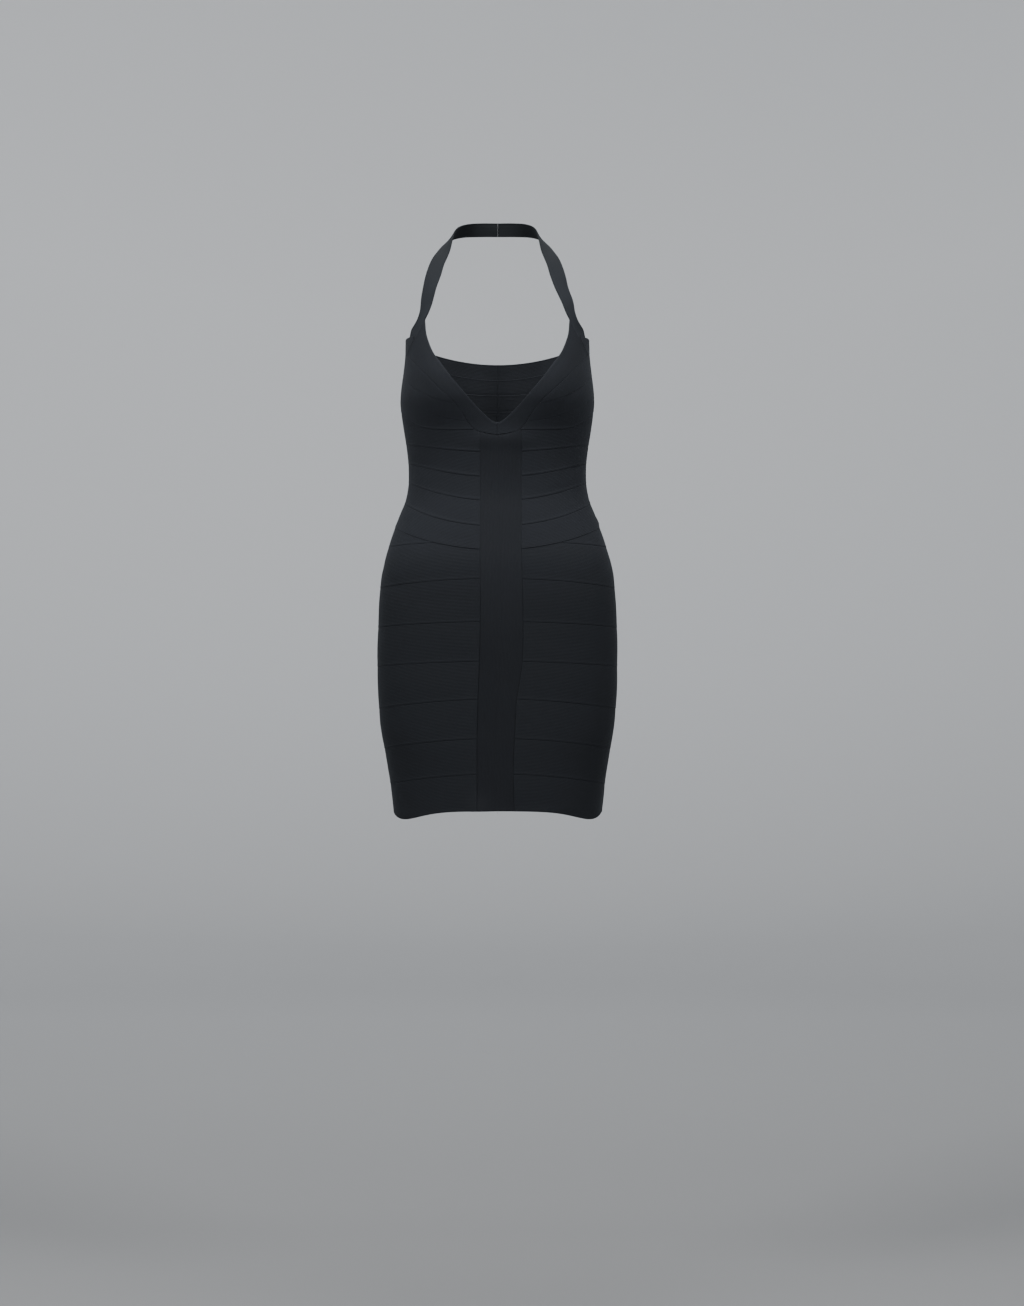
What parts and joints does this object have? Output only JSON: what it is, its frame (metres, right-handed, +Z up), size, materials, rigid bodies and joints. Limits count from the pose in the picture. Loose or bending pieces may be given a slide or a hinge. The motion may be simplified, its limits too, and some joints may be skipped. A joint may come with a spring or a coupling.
{
  "type": "halter bodycon dress",
  "caption": "Fitted mini dress of sewn knit bands, filled out as worn: halter strap, deep V neckline, cups, open low back and open hem.",
  "frame": {"origin": "the back of the neck: the middle of the halter strap's inner face, where the wearer holds the dress up", "axes": "+Z up along the body, the front faces -Y, +X is the wearer's left"},
  "size_m": [0.3302, 0.221, 0.8273],
  "materials": {
    "band_knit": "matt heavy rib knit",
    "panel_knit": "matt heavy rib knit, worn upright",
    "strap_knit": "matt heavy rib knit"
  },
  "bodies": {
    "root": {"halter_strap_left": "strap_knit", "neck_band_left": "band_knit", "cup_upper_band_left": "band_knit", "cup_middle_band_left": "band_knit", "cup_lower_band_left": "band_knit", "underarm_band_left": "band_knit", "back_upper_band_left": "band_knit", "back_middle_band_left": "band_knit", "back_lower_band_left": "band_knit", "midriff_band_left": "band_knit", "midriff_band_2_left": "band_knit", "waist_band_left": "band_knit", "waist_band_2_left": "band_knit", "waist_band_3_left": "band_knit", "hip_band_left": "band_knit", "hip_band_2_left": "band_knit", "hip_band_3_left": "band_knit", "thigh_band_left": "band_knit", "thigh_band_2_left": "band_knit", "thigh_band_3_left": "band_knit", "hem_band_left": "band_knit", "hip_wedge_left": "band_knit", "front_panel_left": "panel_knit", "halter_strap_right": "strap_knit", "neck_band_right": "band_knit", "cup_upper_band_right": "band_knit", "cup_middle_band_right": "band_knit", "cup_lower_band_right": "band_knit", "underarm_band_right": "band_knit", "back_upper_band_right": "band_knit", "back_middle_band_right": "band_knit", "back_lower_band_right": "band_knit", "midriff_band_right": "band_knit", "midriff_band_2_right": "band_knit", "waist_band_right": "band_knit", "waist_band_2_right": "band_knit", "waist_band_3_right": "band_knit", "hip_band_right": "band_knit", "hip_band_2_right": "band_knit", "hip_band_3_right": "band_knit", "thigh_band_right": "band_knit", "thigh_band_2_right": "band_knit", "thigh_band_3_right": "band_knit", "hem_band_right": "band_knit", "hip_wedge_right": "band_knit", "front_panel_right": "panel_knit"}
  },
  "joints": []
}
